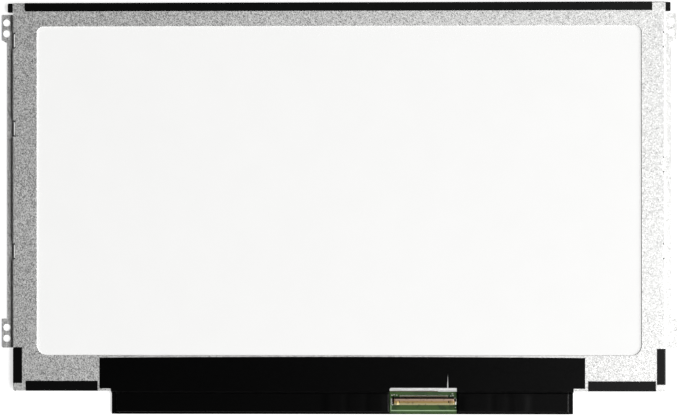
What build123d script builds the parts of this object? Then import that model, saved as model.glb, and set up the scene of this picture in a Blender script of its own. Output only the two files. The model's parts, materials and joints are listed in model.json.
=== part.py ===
from build123d import *
import os

# Laptop screen panel of the 11.6 inch class, lying on its screen with its back up.
# X runs along the width, Y from the board edge to the top edge, Z from the screen to the back.
# The origin is the middle of the outline, on the front face of the screen. All lengths are millimetres.

os.makedirs("parts", exist_ok=True)

# Picture area
active_width = 256.1
active_height = 144.0

# Layers, from the screen to the back
polariser_thickness = 0.2
glass_thickness = 0.5
rim_tape_thickness = 0.06
ledge_thickness = 0.35
diffuser_thickness = 0.11
prism_thickness = 0.13
guide_thickness = 1.0
reflector_thickness = 0.21
steel_thickness = 0.3
edge_tape_thickness = 0.06
cover_tape_thickness = 0.08

# Borders, from the picture outwards
front_polariser_margin = 2.0
rear_polariser_margin = 0.5
view_margin = 0.9
sheet_overlap = 1.5
sheet_clearance = 0.2
glass_margin_side = 3.2
glass_margin_top = 2.6
glass_margin_bottom = 3.0
bond_ledge = 4.8
glass_clearance = 0.25
rim_side = 2.05
rim_top = 2.59
rim_bottom = 1.95
frame_clearance = 0.15

# Folded steel frame
bend_radius = 0.2
bend_relief = 0.2
corner_radius = 1.2
window_border_left = 10.0
window_border_right = 9.8
window_border_top = 9.75
window_border_bottom = 14.65
window_top_radius = 2.8
window_foot_radius = 4.3
window_rollover = 0.08
rail_height = 3.7
left_hook_tab_width = 4.8
right_hook_tab_width = 5.4
hook_length = 3.6
hook_depth = 1.2
hook_inset = 0.6
wall_corner_gap = 1.6
bracket_level = 0.5
bracket_reach = 2.9
bracket_top_drop = 4.6
bracket_foot_rise = 17.55
ear_reach = 5.1
ear_length = 11.75
foot_ear_length = 12.0
ear_slope = 1.2
ear_corner_radius = 0.5
ear_hole_radius = 1.45
ear_hole_reach = 3.05
ear_hole_inset = 5.6
foot_ear_hole_inset = 6.1
ear_hole_pitch = 4.5

# Locating tabs of the sheets, in slots along the side bends, as drops from the top edge
tab_length = 5.3
tab_play = 0.65
tab_clearance = 0.15
slot_width = 0.75
slot_depth = 1.7
left_tab_drops = (15.6, 51.8, 102.3)
right_tab_drops = (15.6, 66.8, 102.3)

# Mould frame
mould_chamfer = 0.3
mould_wall_bottom = 1.5
lug_reach = 2.2
lug_height = 3.65
lug_drop = 0.1
lug_inset = 0.3

# Light strip along the bottom of the light guide
flex_thickness = 0.12
flex_clearance = 0.1
led_room = 3.0
led_count = 30
led_width = 3.8
led_depth = 1.5
led_height = 0.8
led_lens_width = 3.2
led_lens_height = 0.5
led_lens_depth = 0.25
led_gap = 0.1
tail_width = 6.0
wall_clearance = 0.25

# Control board and driver films
board_thickness = 0.6
board_gap = 0.4
board_length = 187.2
board_height = 9.3
board_offset = 1.45
board_corner_radius = 0.6
film_count = 4
film_pitch = 46.0
film_width = 33.0
film_thickness = 0.06
film_glass_bond = 2.0
film_board_bond = 1.8
driver_length = 18.0
driver_width = 1.2
driver_height = 0.4

# Parts on the board, one after the other along it on both sides of the connector
part_room = 1.1
part_gap = 4.0
controller_size = 4.8
controller_height = 0.85
supply_chip_size = 4.0
supply_chip_height = 0.8
light_chip_size = 3.0
light_chip_height = 0.75
coil_size = 4.0
coil_radius = 0.8
chip_length = 1.0
chip_width = 0.5
capacitor_height = 0.5
resistor_height = 0.35
chip_pitch = 5.2
chip_columns = 14
chip_row_drop = 1.2
chip_row_clearance = 0.3
tail_socket_length = 8.4
tail_socket_depth = 3.0
tail_socket_height = 0.9
tail_socket_setback = 3.2
tail_insertion = 1.4
tail_slot_play = 0.02

# Board connector
contact_count = 40
contact_pitch = 0.5
contact_width = 0.2
contact_thickness = 0.12
contact_level = 0.42
contact_reach = 2.3
contact_tail = 0.7
contact_foot = 0.35
contact_bend = 0.06
connector_offset = 33.7
connector_width = 24.4
connector_depth = 3.2
connector_height = 0.9
connector_setback = 3.9
mating_slot_width = 22.0
mating_slot_depth = 2.2
mating_slot_floor = 0.2
mating_slot_roof = 0.16
shell_thickness = 0.12
shell_play = 0.04
shell_depth = 2.5
shell_foot = 0.85
shell_bend = 0.08
latch_window_width = 0.45
latch_window_depth = 1.1
latch_window_pitch = 20.4

# Cover tape over the board, and the edge tapes
cover_wing = 4.7
cover_overhang = 1.35
cover_rise = 14.1
cover_bow = 0.4
cover_step_rise = 1.05
cover_slope = 1.4
cover_lip = 0.8
cover_lip_slope = 0.5
cover_inset = 0.05
cover_bend = 0.3
cutout_offset = -0.275
cutout_play = 1.525
cutout_rise = 1.35
cutout_top_play = 0.15
cutout_top_height = 1.7
slit_offset = 9.75
slit_width = 0.5
slit_length = 6.1
left_tape_width = 3.85
right_tape_width = 3.6
side_tape_gap = 0.1
left_tape_rise = 3.2
right_tape_rise = 2.7
left_tape_lead = 0.5
bottom_tape_width = 4.15
left_bottom_tape_gap = 0.75
right_bottom_tape_gap = 1.2
left_bottom_tape_inset = 5.3
right_bottom_tape_inset = 4.0
bottom_flap = 4.4
tape_gap = 0.15
tape_bend = 0.1

# Levels
colour_glass_front = polariser_thickness
array_glass_front = colour_glass_front + glass_thickness
array_glass_back = array_glass_front + glass_thickness
ledge_front = array_glass_back + rim_tape_thickness
ledge_back = ledge_front + ledge_thickness
upper_prism_front = ledge_back + diffuser_thickness
lower_prism_front = upper_prism_front + prism_thickness
lower_diffuser_front = lower_prism_front + prism_thickness
guide_front = lower_diffuser_front + diffuser_thickness
reflector_front = guide_front + guide_thickness
steel_front = reflector_front + reflector_thickness
steel_back = steel_front + steel_thickness
flex_back = ledge_back + flex_thickness
wall_front = flex_back + wall_clearance
board_back = array_glass_front + board_thickness
room_top = board_back + part_room

# Outline, from the picture outwards
glass_side = active_width / 2 + glass_margin_side
cell_pocket_side = glass_side + glass_clearance
mould_side = cell_pocket_side + rim_side
wall_side = mould_side + frame_clearance
body_side = wall_side + steel_thickness
glass_height_above = glass_margin_top + glass_clearance + rim_top + edge_tape_thickness
glass_height_below = glass_margin_bottom + bond_ledge + rim_bottom + frame_clearance + steel_thickness
body_height = active_height + glass_height_above + glass_height_below
body_top = (body_height + board_gap + board_height) / 2
body_bottom = body_top - body_height
board_top = body_bottom - board_gap
board_bottom = board_top - board_height
active_top = body_top - glass_height_above
active_bottom = active_top - active_height
glass_top = active_top + glass_margin_top
colour_glass_bottom = active_bottom - glass_margin_bottom
array_glass_bottom = colour_glass_bottom - bond_ledge
mould_top = body_top - edge_tape_thickness
mould_bottom = body_bottom + steel_thickness + frame_clearance
view_side = active_width / 2 + view_margin
view_top = active_top + view_margin
view_bottom = active_bottom - view_margin
sheet_side = view_side + sheet_overlap
sheet_top = view_top + sheet_overlap
strip_bottom = mould_bottom + mould_wall_bottom
sheet_bottom = strip_bottom + led_room
tab_tip = wall_side - tab_clearance
slot_length = tab_length + 2 * tab_play
fold_radius = bend_radius + steel_thickness
bracket_top = body_top - bracket_top_drop
bracket_foot = body_bottom + bracket_foot_rise
rail_left = body_side - left_hook_tab_width
rail_right = body_side - right_hook_tab_width
connector_x = board_offset + connector_offset
connector_mouth = board_bottom + connector_setback
connector_rear = connector_mouth + connector_depth
cutout_x = connector_x + cutout_offset
cutout_half = connector_width / 2 + cutout_play
lip_start = board_bottom + cover_inset + cover_lip
lip_end = lip_start + cover_lip_slope

# Places along the board, outwards from the cut-out round the connector
supply_chip_x = cutout_x - cutout_half - part_gap - supply_chip_size / 2
left_coil_x = supply_chip_x - supply_chip_size / 2 - part_gap - coil_size / 2
controller_x = left_coil_x - coil_size / 2 - part_gap - controller_size / 2
last_chip_x = controller_x - controller_size / 2 - part_gap - chip_length / 2
tail_x = cutout_x + cutout_half + part_gap + tail_socket_length / 2
light_chip_x = tail_x + tail_socket_length / 2 + part_gap + light_chip_size / 2
right_coil_x = light_chip_x + light_chip_size / 2 + part_gap + coil_size / 2

pieces = {}


def area(left, right, bottom, top, mode=Mode.ADD):
    with Locations(((left + right) / 2, (bottom + top) / 2)):
        Rectangle(right - left, top - bottom, mode=mode)


def tab_places(reach):
    left_places = [(-reach, body_top - drop) for drop in left_tab_drops]
    right_places = [(reach, body_top - drop) for drop in right_tab_drops]
    return left_places + right_places


# Display cell: two glasses between two polarisers, the array glass longer at the board edge
with BuildPart() as front_polariser:
    with BuildSketch(Plane.XY):
        side = active_width / 2 + front_polariser_margin
        area(-side, side, active_bottom - front_polariser_margin, active_top + front_polariser_margin)
    extrude(amount=polariser_thickness)
pieces["front_polariser"] = front_polariser

with BuildPart() as colour_filter_glass:
    with BuildSketch(Plane.XY.offset(colour_glass_front)):
        area(-glass_side, glass_side, colour_glass_bottom, glass_top)
    extrude(amount=glass_thickness)
pieces["colour_filter_glass"] = colour_filter_glass

with BuildPart() as array_glass:
    with BuildSketch(Plane.XY.offset(array_glass_front)):
        area(-glass_side, glass_side, array_glass_bottom, glass_top)
    extrude(amount=glass_thickness)
pieces["array_glass"] = array_glass

with BuildPart() as rear_polariser:
    with BuildSketch(Plane.XY.offset(array_glass_back)):
        side = active_width / 2 + rear_polariser_margin
        area(-side, side, active_bottom - rear_polariser_margin, active_top + rear_polariser_margin)
    extrude(amount=polariser_thickness)
pieces["rear_polariser"] = rear_polariser

# Double-sided tape that bonds the border of the cell to the ledge of the mould frame
with BuildPart() as rim_tape:
    with BuildSketch(Plane.XY.offset(array_glass_back)):
        area(-glass_side, glass_side, array_glass_bottom, glass_top)
        area(-view_side, view_side, view_bottom, view_top, mode=Mode.SUBTRACT)
    extrude(amount=rim_tape_thickness)
pieces["rim_tape"] = rim_tape

# Mould frame: a ring with a ledge, the cell in front of it and the sheets behind it
with BuildPart() as mould_frame:
    with BuildSketch(Plane.XY.offset(colour_glass_front)):
        area(-mould_side, mould_side, mould_bottom, mould_top)
    extrude(amount=steel_front - colour_glass_front)
    chamfer(mould_frame.edges().group_by(Axis.Z)[-1], length=mould_chamfer)
    # Pocket for the cell, open towards the board
    with BuildSketch(Plane.XY.offset(colour_glass_front)):
        area(-cell_pocket_side, cell_pocket_side, body_bottom, glass_top + glass_clearance)
    extrude(amount=ledge_front - colour_glass_front, mode=Mode.SUBTRACT)
    # Pocket for the sheets and the light strip
    with BuildSketch(Plane.XY.offset(ledge_back)):
        pocket_side = sheet_side + sheet_clearance
        area(-pocket_side, pocket_side, strip_bottom, sheet_top + sheet_clearance)
        with Locations(tab_places((pocket_side + mould_side) / 2)):
            Rectangle(mould_side - pocket_side, slot_length)
    extrude(amount=steel_front - ledge_back, mode=Mode.SUBTRACT)
    # Opening in front of the picture
    with BuildSketch(Plane.XY.offset(ledge_front)):
        area(-view_side, view_side, view_bottom, view_top)
    extrude(amount=ledge_thickness, mode=Mode.SUBTRACT)
    # Way out for the tail of the light strip
    with BuildSketch(Plane.XY.offset(ledge_front)):
        half = tail_width / 2 + flex_clearance
        area(tail_x - half, tail_x + half, mould_bottom, strip_bottom)
    extrude(amount=flex_back + flex_clearance - ledge_front, mode=Mode.SUBTRACT)
    # End lugs of the top rail, and the recesses for the steel hooks
    with BuildSketch(Plane.XY.offset(bracket_level)):
        lug_top = body_top - lug_drop
        area(-body_side - lug_reach, -cell_pocket_side, lug_top - lug_height, lug_top)
        area(cell_pocket_side, body_side + lug_reach, lug_top - lug_height, lug_top)
    extrude(amount=steel_front - lug_inset - bracket_level)
    with BuildSketch(Plane.XY.offset(steel_back - hook_depth - frame_clearance)):
        recess_floor = body_top - steel_thickness - frame_clearance
        area(rail_right, body_side + lug_reach, recess_floor, body_top)
        area(-body_side - lug_reach, -rail_left, recess_floor, body_top)
    extrude(amount=hook_depth, mode=Mode.SUBTRACT)
pieces["mould_frame"] = mould_frame

# Optical sheets and light guide, all on the same locating tabs
sheet_stack = {
    "upper_diffuser": (ledge_back, diffuser_thickness, sheet_bottom),
    "upper_prism_sheet": (upper_prism_front, prism_thickness, sheet_bottom),
    "lower_prism_sheet": (lower_prism_front, prism_thickness, sheet_bottom),
    "lower_diffuser": (lower_diffuser_front, diffuser_thickness, sheet_bottom),
    "light_guide": (guide_front, guide_thickness, sheet_bottom),
    "reflector_sheet": (reflector_front, reflector_thickness, strip_bottom + sheet_clearance),
}
for name, (front, thickness, bottom) in sheet_stack.items():
    with BuildPart() as sheet:
        with BuildSketch(Plane.XY.offset(front)):
            area(-sheet_side, sheet_side, bottom, sheet_top)
            with Locations(tab_places((sheet_side + tab_tip) / 2)):
                Rectangle(tab_tip - sheet_side, tab_length)
        extrude(amount=thickness)
    pieces[name] = sheet

# Light strip: flexible circuit with a tail to the board, and its row of light packages
tail_socket_bottom = board_bottom + tail_socket_setback
tail_socket_top = tail_socket_bottom + tail_socket_depth
with BuildPart() as light_strip_flex:
    with BuildSketch(Plane.XY.offset(ledge_back)):
        area(-sheet_side, sheet_side, strip_bottom + flex_clearance, sheet_bottom - flex_clearance)
        tail_left = tail_x - tail_width / 2
        area(tail_left, tail_left + tail_width, tail_socket_top - tail_insertion, sheet_bottom - flex_clearance)
    extrude(amount=flex_thickness)
pieces["light_strip_flex"] = light_strip_flex

led_front = sheet_bottom - led_gap
led_pitch = 2 * sheet_side / led_count
with BuildPart() as light_packages:
    with BuildSketch(Plane.XY.offset(flex_back)):
        with Locations((0, led_front - led_depth / 2)):
            with GridLocations(led_pitch, 0, led_count, 1):
                Rectangle(led_width, led_depth)
    extrude(amount=led_height)
    with BuildSketch(Plane.XZ.offset(-led_front)):
        with Locations((0, flex_back + led_height / 2)):
            with GridLocations(led_pitch, 0, led_count, 1):
                Rectangle(led_lens_width, led_lens_height)
    extrude(amount=led_lens_depth, mode=Mode.SUBTRACT)
pieces["light_packages"] = light_packages

# Rear frame: one sheet of steel with a window, folded down at the sides and the board edge
window_top = body_top - window_border_top
window_bottom = body_bottom + window_border_bottom
window_left = window_border_left - body_side
window_right = body_side - window_border_right
bracket_back = bracket_level + steel_thickness
plain_wall_top = bracket_foot - 2 * bend_relief
plain_wall_foot = body_bottom + wall_corner_gap
bottom_wall_side = body_side - wall_corner_gap
with BuildPart() as rear_frame:
    with BuildSketch(Plane.XY.offset(steel_front)) as plate:
        area(-body_side, body_side, body_bottom, body_top)
        fillet(plate.vertices().group_by(Axis.Y)[0], radius=corner_radius)
        # The sheet stops where each fold starts, with a relief cut at each end of the fold
        for sign in (-1, 1):
            fold_middle = sign * (body_side - fold_radius / 2)
            for low, high in ((bracket_foot, bracket_top), (plain_wall_foot, plain_wall_top)):
                with Locations((fold_middle, (low + high) / 2)):
                    Rectangle(fold_radius, high - low + 2 * bend_relief, mode=Mode.SUBTRACT)
            with Locations((sign * (body_side - right_hook_tab_width / 2), body_top - fold_radius / 2)):
                Rectangle(right_hook_tab_width, fold_radius, mode=Mode.SUBTRACT)
        with Locations((0, body_bottom + fold_radius / 2)):
            Rectangle(2 * (bottom_wall_side + bend_relief), fold_radius, mode=Mode.SUBTRACT)
    extrude(amount=steel_thickness)
    # Side wall that steps out into the bracket strip
    fold_start = body_side - 2 * fold_radius
    with BuildSketch(Plane.XZ.offset(-bracket_top)):
        with BuildLine():
            FilletPolyline(
                (fold_start, steel_back),
                (body_side, steel_back),
                (body_side, bracket_back),
                (body_side + bracket_reach, bracket_back),
                (body_side + bracket_reach, bracket_level),
                (wall_side, bracket_level),
                (wall_side, steel_front),
                (fold_start, steel_front),
                close=True,
                radius=(0, fold_radius, bend_radius, 0, 0, fold_radius, bend_radius, 0),
            )
        make_face()
    extrude(amount=bracket_top - bracket_foot)
    # Plain side wall below the bracket
    with BuildSketch(Plane.XZ.offset(-plain_wall_top)):
        with BuildLine():
            FilletPolyline(
                (fold_start, steel_back),
                (body_side, steel_back),
                (body_side, wall_front),
                radius=fold_radius,
            )
            offset(amount=steel_thickness, side=Side.RIGHT)
        make_face()
    extrude(amount=plain_wall_top - plain_wall_foot)
    # Hook over the end of the top rail
    with BuildSketch(Plane.YZ.offset(body_side - hook_inset - hook_length)):
        with BuildLine():
            FilletPolyline(
                (body_top - 2 * fold_radius, steel_back),
                (body_top, steel_back),
                (body_top, steel_back - hook_depth),
                radius=fold_radius,
            )
            offset(amount=steel_thickness, side=Side.RIGHT)
        make_face()
    extrude(amount=hook_length)
    # Screw ears at both ends of the bracket strip, the upper one sloped back to the strip
    with BuildSketch(Plane.XY.offset(bracket_level)) as ears:
        ear_root = body_side + fold_radius
        ear_edge = body_side + ear_reach
        with BuildLine():
            slope_start = bracket_top - ear_length + ear_slope
            FilletPolyline(
                (ear_root, bracket_top),
                (ear_edge, bracket_top),
                (ear_edge, slope_start),
                (body_side + bracket_reach, bracket_top - ear_length),
                (ear_root, bracket_top - ear_length),
                close=True,
                radius=(0, ear_corner_radius, ear_corner_radius, 0, 0),
            )
        make_face()
    extrude(amount=steel_thickness)
    with BuildSketch(Plane.XY.offset(bracket_level)) as foot_ears:
        area(ear_root, ear_edge, bracket_foot, bracket_foot + foot_ear_length)
        fillet(foot_ears.vertices().group_by(Axis.X)[-1], radius=ear_corner_radius)
    extrude(amount=steel_thickness)
    mirror(about=Plane.YZ)
    # Window over the reflector sheet, with the rolled edge that the blanking punch leaves round it
    with BuildSketch(Plane.XY.offset(steel_front)):
        with BuildLine():
            FilletPolyline(
                (window_left, window_bottom),
                (window_right, window_bottom),
                (window_right, window_top),
                (window_left, window_top),
                close=True,
                radius=(window_foot_radius, window_foot_radius, window_top_radius, window_top_radius),
            )
        make_face()
    extrude(amount=steel_thickness, mode=Mode.SUBTRACT)
    window_rim = rear_frame.faces().sort_by(Axis.Z)[-1].inner_wires()[0]
    fillet(window_rim.edges(), radius=window_rollover)
    # Room for the top rail between the two hooks
    with BuildSketch(Plane.XY.offset(steel_front)):
        area(-rail_left, rail_right, body_top - rail_height, body_top)
    extrude(amount=steel_thickness, mode=Mode.SUBTRACT)
    # Wall along the board edge
    with BuildSketch(Plane.YZ.offset(-bottom_wall_side)):
        with BuildLine():
            FilletPolyline(
                (body_bottom + 2 * fold_radius, steel_back),
                (body_bottom, steel_back),
                (body_bottom, wall_front),
                radius=fold_radius,
            )
            offset(amount=steel_thickness, side=Side.LEFT)
        make_face()
    extrude(amount=2 * bottom_wall_side)
    # Screw holes and the slots over the sheets' locating tabs
    hole_middles = (bracket_top - ear_hole_inset, bracket_foot + foot_ear_hole_inset)
    hole_x = body_side + ear_hole_reach
    for middle in hole_middles:
        with Locations((0, middle, bracket_back)):
            with GridLocations(2 * hole_x, ear_hole_pitch, 2, 2):
                Hole(radius=ear_hole_radius)
    with BuildSketch(Plane.XY.offset(steel_back - slot_depth)):
        # Each slot runs through the bend and part of the way down the wall
        slot_reach = slot_width + steel_thickness
        with Locations(tab_places(body_side - slot_reach / 2)):
            Rectangle(slot_reach, slot_length)
    extrude(amount=slot_depth, mode=Mode.SUBTRACT)
pieces["rear_frame"] = rear_frame

# Control board below the body, and the driver films that carry it on the bond ledge of the glass
with BuildPart() as control_board:
    with BuildSketch(Plane.XY.offset(array_glass_front)):
        with Locations((board_offset, (board_top + board_bottom) / 2)):
            RectangleRounded(board_length, board_height, board_corner_radius)
    extrude(amount=board_thickness)
pieces["control_board"] = control_board

film_top = array_glass_bottom + film_glass_bond
film_bottom = board_top - film_board_bond
driver_middle = (array_glass_bottom + board_top) / 2
for number in range(film_count):
    film_x = board_offset + (number - (film_count - 1) / 2) * film_pitch
    with BuildPart() as driver_film:
        with BuildSketch(Plane.XY.offset(array_glass_front - film_thickness)):
            area(film_x - film_width / 2, film_x + film_width / 2, film_bottom, film_top)
        extrude(amount=film_thickness)
    pieces[f"driver_film_{number + 1}"] = driver_film
    with BuildPart() as driver_chip:
        with BuildSketch(Plane.XY.offset(array_glass_front)):
            with Locations((film_x, driver_middle)):
                Rectangle(driver_length, driver_width)
        extrude(amount=driver_height)
    pieces[f"driver_chip_{number + 1}"] = driver_chip

# Chips and coils on the back of the board
board_middle = (board_top + board_bottom) / 2
chips = {
    "timing_controller": (controller_x, controller_size, controller_height),
    "supply_chip": (supply_chip_x, supply_chip_size, supply_chip_height),
    "light_driver_chip": (light_chip_x, light_chip_size, light_chip_height),
}
for name, (chip_x, size, height) in chips.items():
    with BuildPart() as chip:
        with BuildSketch(Plane.XY.offset(board_back)):
            with Locations((chip_x, board_middle)):
                Rectangle(size, size)
        extrude(amount=height)
    pieces[name] = chip

with BuildPart() as coils:
    with BuildSketch(Plane.XY.offset(board_back)):
        with Locations((left_coil_x, board_middle), (right_coil_x, board_middle)):
            RectangleRounded(coil_size, coil_size, coil_radius)
    extrude(amount=part_room)
pieces["coils"] = coils

row_middle = last_chip_x - (chip_columns - 1) * chip_pitch / 2
chip_rows = {
    "capacitors": (board_top - chip_row_drop, capacitor_height),
    "resistors": (lip_end + chip_row_clearance + chip_width / 2, resistor_height),
}
for name, (row, height) in chip_rows.items():
    with BuildPart() as chip_row:
        with BuildSketch(Plane.XY.offset(board_back)):
            with Locations((row_middle, row)):
                with GridLocations(chip_pitch, 0, chip_columns, 1):
                    Rectangle(chip_length, chip_width)
        extrude(amount=height)
    pieces[name] = chip_row

# Socket for the tail of the light strip
with BuildPart() as tail_socket:
    with BuildSketch(Plane.XY.offset(board_back)):
        half = tail_socket_length / 2
        area(tail_x - half, tail_x + half, tail_socket_bottom, tail_socket_top)
    extrude(amount=tail_socket_height)
    with BuildSketch(Plane.XZ.offset(-tail_socket_top)):
        half = tail_width / 2 + tail_slot_play
        area(tail_x - half, tail_x + half, ledge_back - tail_slot_play, flex_back + tail_slot_play)
    extrude(amount=tail_insertion + tail_slot_play, mode=Mode.SUBTRACT)
pieces["tail_socket"] = tail_socket

# Board connector: housing with a mating slot towards the board edge
contact_floor = board_back + contact_level
connector_back = board_back + connector_height
with BuildPart() as connector_housing:
    with BuildSketch(Plane.XY.offset(board_back)):
        half = connector_width / 2
        area(connector_x - half, connector_x + half, connector_mouth, connector_rear)
    extrude(amount=connector_height)
    with BuildSketch(Plane.XZ.offset(-connector_mouth)):
        half = mating_slot_width / 2
        slot_roof = connector_back - mating_slot_roof
        area(connector_x - half, connector_x + half, board_back + mating_slot_floor, slot_roof)
    extrude(amount=-mating_slot_depth, mode=Mode.SUBTRACT)
    # Slit that holds the row of contacts in the rear wall
    with BuildSketch(Plane.XZ.offset(-connector_mouth)):
        half = (contact_count * contact_pitch) / 2
        area(connector_x - half, connector_x + half, contact_floor, contact_floor + contact_thickness)
    extrude(amount=-connector_depth, mode=Mode.SUBTRACT)
pieces["connector_housing"] = connector_housing

# Stamped shell round the mouth, with a foot on the board at each end
with BuildPart() as connector_shell:
    with BuildSketch(Plane.XZ.offset(-connector_mouth - shell_depth)):
        with BuildLine():
            half = connector_width / 2 + shell_play
            FilletPolyline(
                (connector_x - half - shell_foot, board_back),
                (connector_x - half, board_back),
                (connector_x - half, connector_back),
                (connector_x + half, connector_back),
                (connector_x + half, board_back),
                (connector_x + half + shell_foot, board_back),
                radius=(shell_bend + shell_thickness, shell_bend, shell_bend, shell_bend + shell_thickness),
            )
            offset(amount=shell_thickness, side=Side.LEFT)
        make_face()
    extrude(amount=shell_depth)
    with BuildSketch(Plane.XY.offset(connector_back)):
        with Locations((connector_x, connector_mouth + shell_depth / 2)):
            with GridLocations(latch_window_pitch, 0, 2, 1):
                Rectangle(latch_window_width, latch_window_depth)
    extrude(amount=shell_thickness, mode=Mode.SUBTRACT)
pieces["connector_shell"] = connector_shell

# Contacts: bent strips with a solder foot behind the housing and a blade in the mating slot
first_contact = connector_x - (contact_count - 1) * contact_pitch / 2
contact_planes = [Plane.YZ.offset(first_contact + number * contact_pitch) for number in range(contact_count)]
with BuildPart() as connector_contacts:
    with BuildSketch(*contact_planes):
        with BuildLine():
            foot_end = connector_rear + contact_tail
            FilletPolyline(
                (foot_end, board_back),
                (foot_end - contact_foot, board_back),
                (connector_rear + contact_thickness, contact_floor),
                (connector_rear - contact_reach, contact_floor),
                radius=contact_bend + contact_thickness,
            )
            offset(amount=contact_thickness, side=Side.RIGHT)
        make_face()
    extrude(amount=contact_width / 2, both=True)
pieces["connector_contacts"] = connector_contacts

# Cover tape: flat on the steel, then down over the parts to the rim of the board
cover_top = body_bottom + cover_rise
cover_step = body_bottom + cover_step_rise
cover_left = board_offset - board_length / 2 - cover_overhang
cover_right = board_offset + board_length / 2 + cover_overhang
cover_back = steel_back + cover_tape_thickness
with BuildPart() as board_cover_tape:
    with BuildSketch(Plane.XY.offset(steel_back)):
        with BuildLine():
            corner_y = cover_top - cover_bow
            Polyline(
                (cover_left - cover_wing, corner_y),
                (cover_left - cover_wing, cover_step),
                (cover_right + cover_wing, cover_step),
                (cover_right + cover_wing, corner_y),
            )
            ThreePointArc(
                (cover_right + cover_wing, corner_y),
                (board_offset, cover_top),
                (cover_left - cover_wing, corner_y),
            )
        make_face()
    extrude(amount=cover_tape_thickness)
    with BuildSketch(Plane.YZ.offset(cover_left)):
        with BuildLine():
            FilletPolyline(
                (cover_step + cover_step_rise, steel_back),
                (body_bottom, steel_back),
                (body_bottom - cover_slope, room_top),
                (lip_end, room_top),
                (lip_start, board_back),
                (board_bottom + cover_inset, board_back),
                radius=cover_bend,
            )
            offset(amount=cover_tape_thickness, side=Side.RIGHT)
        make_face()
    extrude(amount=cover_right - cover_left)
    # Cut-out round the connector, wider along its top, and the slit above it
    with BuildSketch(Plane.XY.offset(board_back)):
        cutout_top = body_bottom + cutout_rise
        slot_middle = cutout_top - cutout_top_height / 2
        area(cutout_x - cutout_half, cutout_x + cutout_half, board_bottom, slot_middle)
        with Locations((cutout_x, slot_middle)):
            SlotOverall(2 * (cutout_half + cutout_top_play), cutout_top_height)
        with BuildLine():
            slit_x = connector_x + slit_offset
            Polyline(
                (slit_x - slit_width / 2, slot_middle),
                (slit_x + slit_width / 2, slot_middle),
                (slit_x, cutout_top + slit_length),
                close=True,
            )
        make_face()
    extrude(amount=cover_back - board_back, mode=Mode.SUBTRACT)
pieces["board_cover_tape"] = board_cover_tape

# Edge tapes, each folded round an edge of the body from the back onto the glass
with BuildPart() as top_tape:
    tape_left = tape_gap - rail_left
    with BuildSketch(Plane.YZ.offset(tape_left)):
        with BuildLine():
            FilletPolyline(
                (body_top - rail_height + tape_gap, steel_front),
                (mould_top, steel_front),
                (mould_top, colour_glass_front),
                (active_top + front_polariser_margin + tape_gap, colour_glass_front),
                radius=(tape_bend, 0),
            )
            offset(amount=edge_tape_thickness, side=Side.LEFT)
        make_face()
    extrude(amount=rail_right - tape_gap - tape_left)
pieces["top_tape"] = top_tape

side_tape_top = bracket_foot - side_tape_gap
with BuildPart() as right_side_tape:
    with BuildSketch(Plane.XZ.offset(-side_tape_top)):
        with BuildLine():
            FilletPolyline(
                (body_side - right_tape_width, steel_back),
                (body_side, steel_back),
                (body_side, colour_glass_front),
                (active_width / 2 + front_polariser_margin + tape_gap, colour_glass_front),
                radius=(fold_radius, tape_bend),
            )
            offset(amount=edge_tape_thickness, side=Side.LEFT)
        make_face()
    extrude(amount=side_tape_top - body_bottom - right_tape_rise)
pieces["right_side_tape"] = right_side_tape

# The left one is wider, and its flat part goes on for a little beside the bracket
with BuildPart() as left_side_tape:
    with BuildSketch(Plane.XZ.offset(-side_tape_top)):
        with BuildLine():
            FilletPolyline(
                (left_tape_width - body_side, steel_back),
                (-body_side, steel_back),
                (-body_side, colour_glass_front),
                (-active_width / 2 - front_polariser_margin - tape_gap, colour_glass_front),
                radius=(fold_radius, tape_bend),
            )
            offset(amount=edge_tape_thickness, side=Side.RIGHT)
        make_face()
    extrude(amount=side_tape_top - body_bottom - left_tape_rise)
    with BuildSketch(Plane.XY.offset(steel_back)):
        area(fold_radius - body_side, left_tape_width - body_side, side_tape_top, side_tape_top + left_tape_lead)
    extrude(amount=edge_tape_thickness)
pieces["left_side_tape"] = left_side_tape

bottom_tapes = {
    "left_bottom_tape": (left_bottom_tape_inset - body_side, cover_left - cover_wing - left_bottom_tape_gap),
    "right_bottom_tape": (cover_right + cover_wing + right_bottom_tape_gap, body_side - right_bottom_tape_inset),
}
for name, (left, right) in bottom_tapes.items():
    with BuildPart() as bottom_tape:
        with BuildSketch(Plane.YZ.offset(left)):
            with BuildLine():
                FilletPolyline(
                    (body_bottom + bottom_tape_width, steel_back),
                    (body_bottom, steel_back),
                    (body_bottom, array_glass_front),
                    (body_bottom + bottom_flap, array_glass_front),
                    radius=(fold_radius, tape_bend),
                )
                offset(amount=edge_tape_thickness, side=Side.RIGHT)
            make_face()
        extrude(amount=right - left)
    pieces[name] = bottom_tape

for name, piece in pieces.items():
    piece.part.label = name
    export_step(piece.part, f"parts/{name}.step")
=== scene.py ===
import json
import math

import bmesh
import bpy
from mathutils import Matrix, Vector


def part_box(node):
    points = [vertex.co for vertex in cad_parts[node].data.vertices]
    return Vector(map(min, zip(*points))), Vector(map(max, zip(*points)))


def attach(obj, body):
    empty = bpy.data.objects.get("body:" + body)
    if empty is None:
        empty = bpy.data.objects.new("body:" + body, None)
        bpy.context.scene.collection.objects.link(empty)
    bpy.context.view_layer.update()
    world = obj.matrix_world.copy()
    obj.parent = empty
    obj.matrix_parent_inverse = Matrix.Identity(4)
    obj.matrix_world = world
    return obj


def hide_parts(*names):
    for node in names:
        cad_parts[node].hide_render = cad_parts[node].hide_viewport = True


# Laptop screen panel lying on its screen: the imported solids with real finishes, a draped tape over the
# control board, and the pads, solder, tracks and stamped details of its connector.

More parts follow.
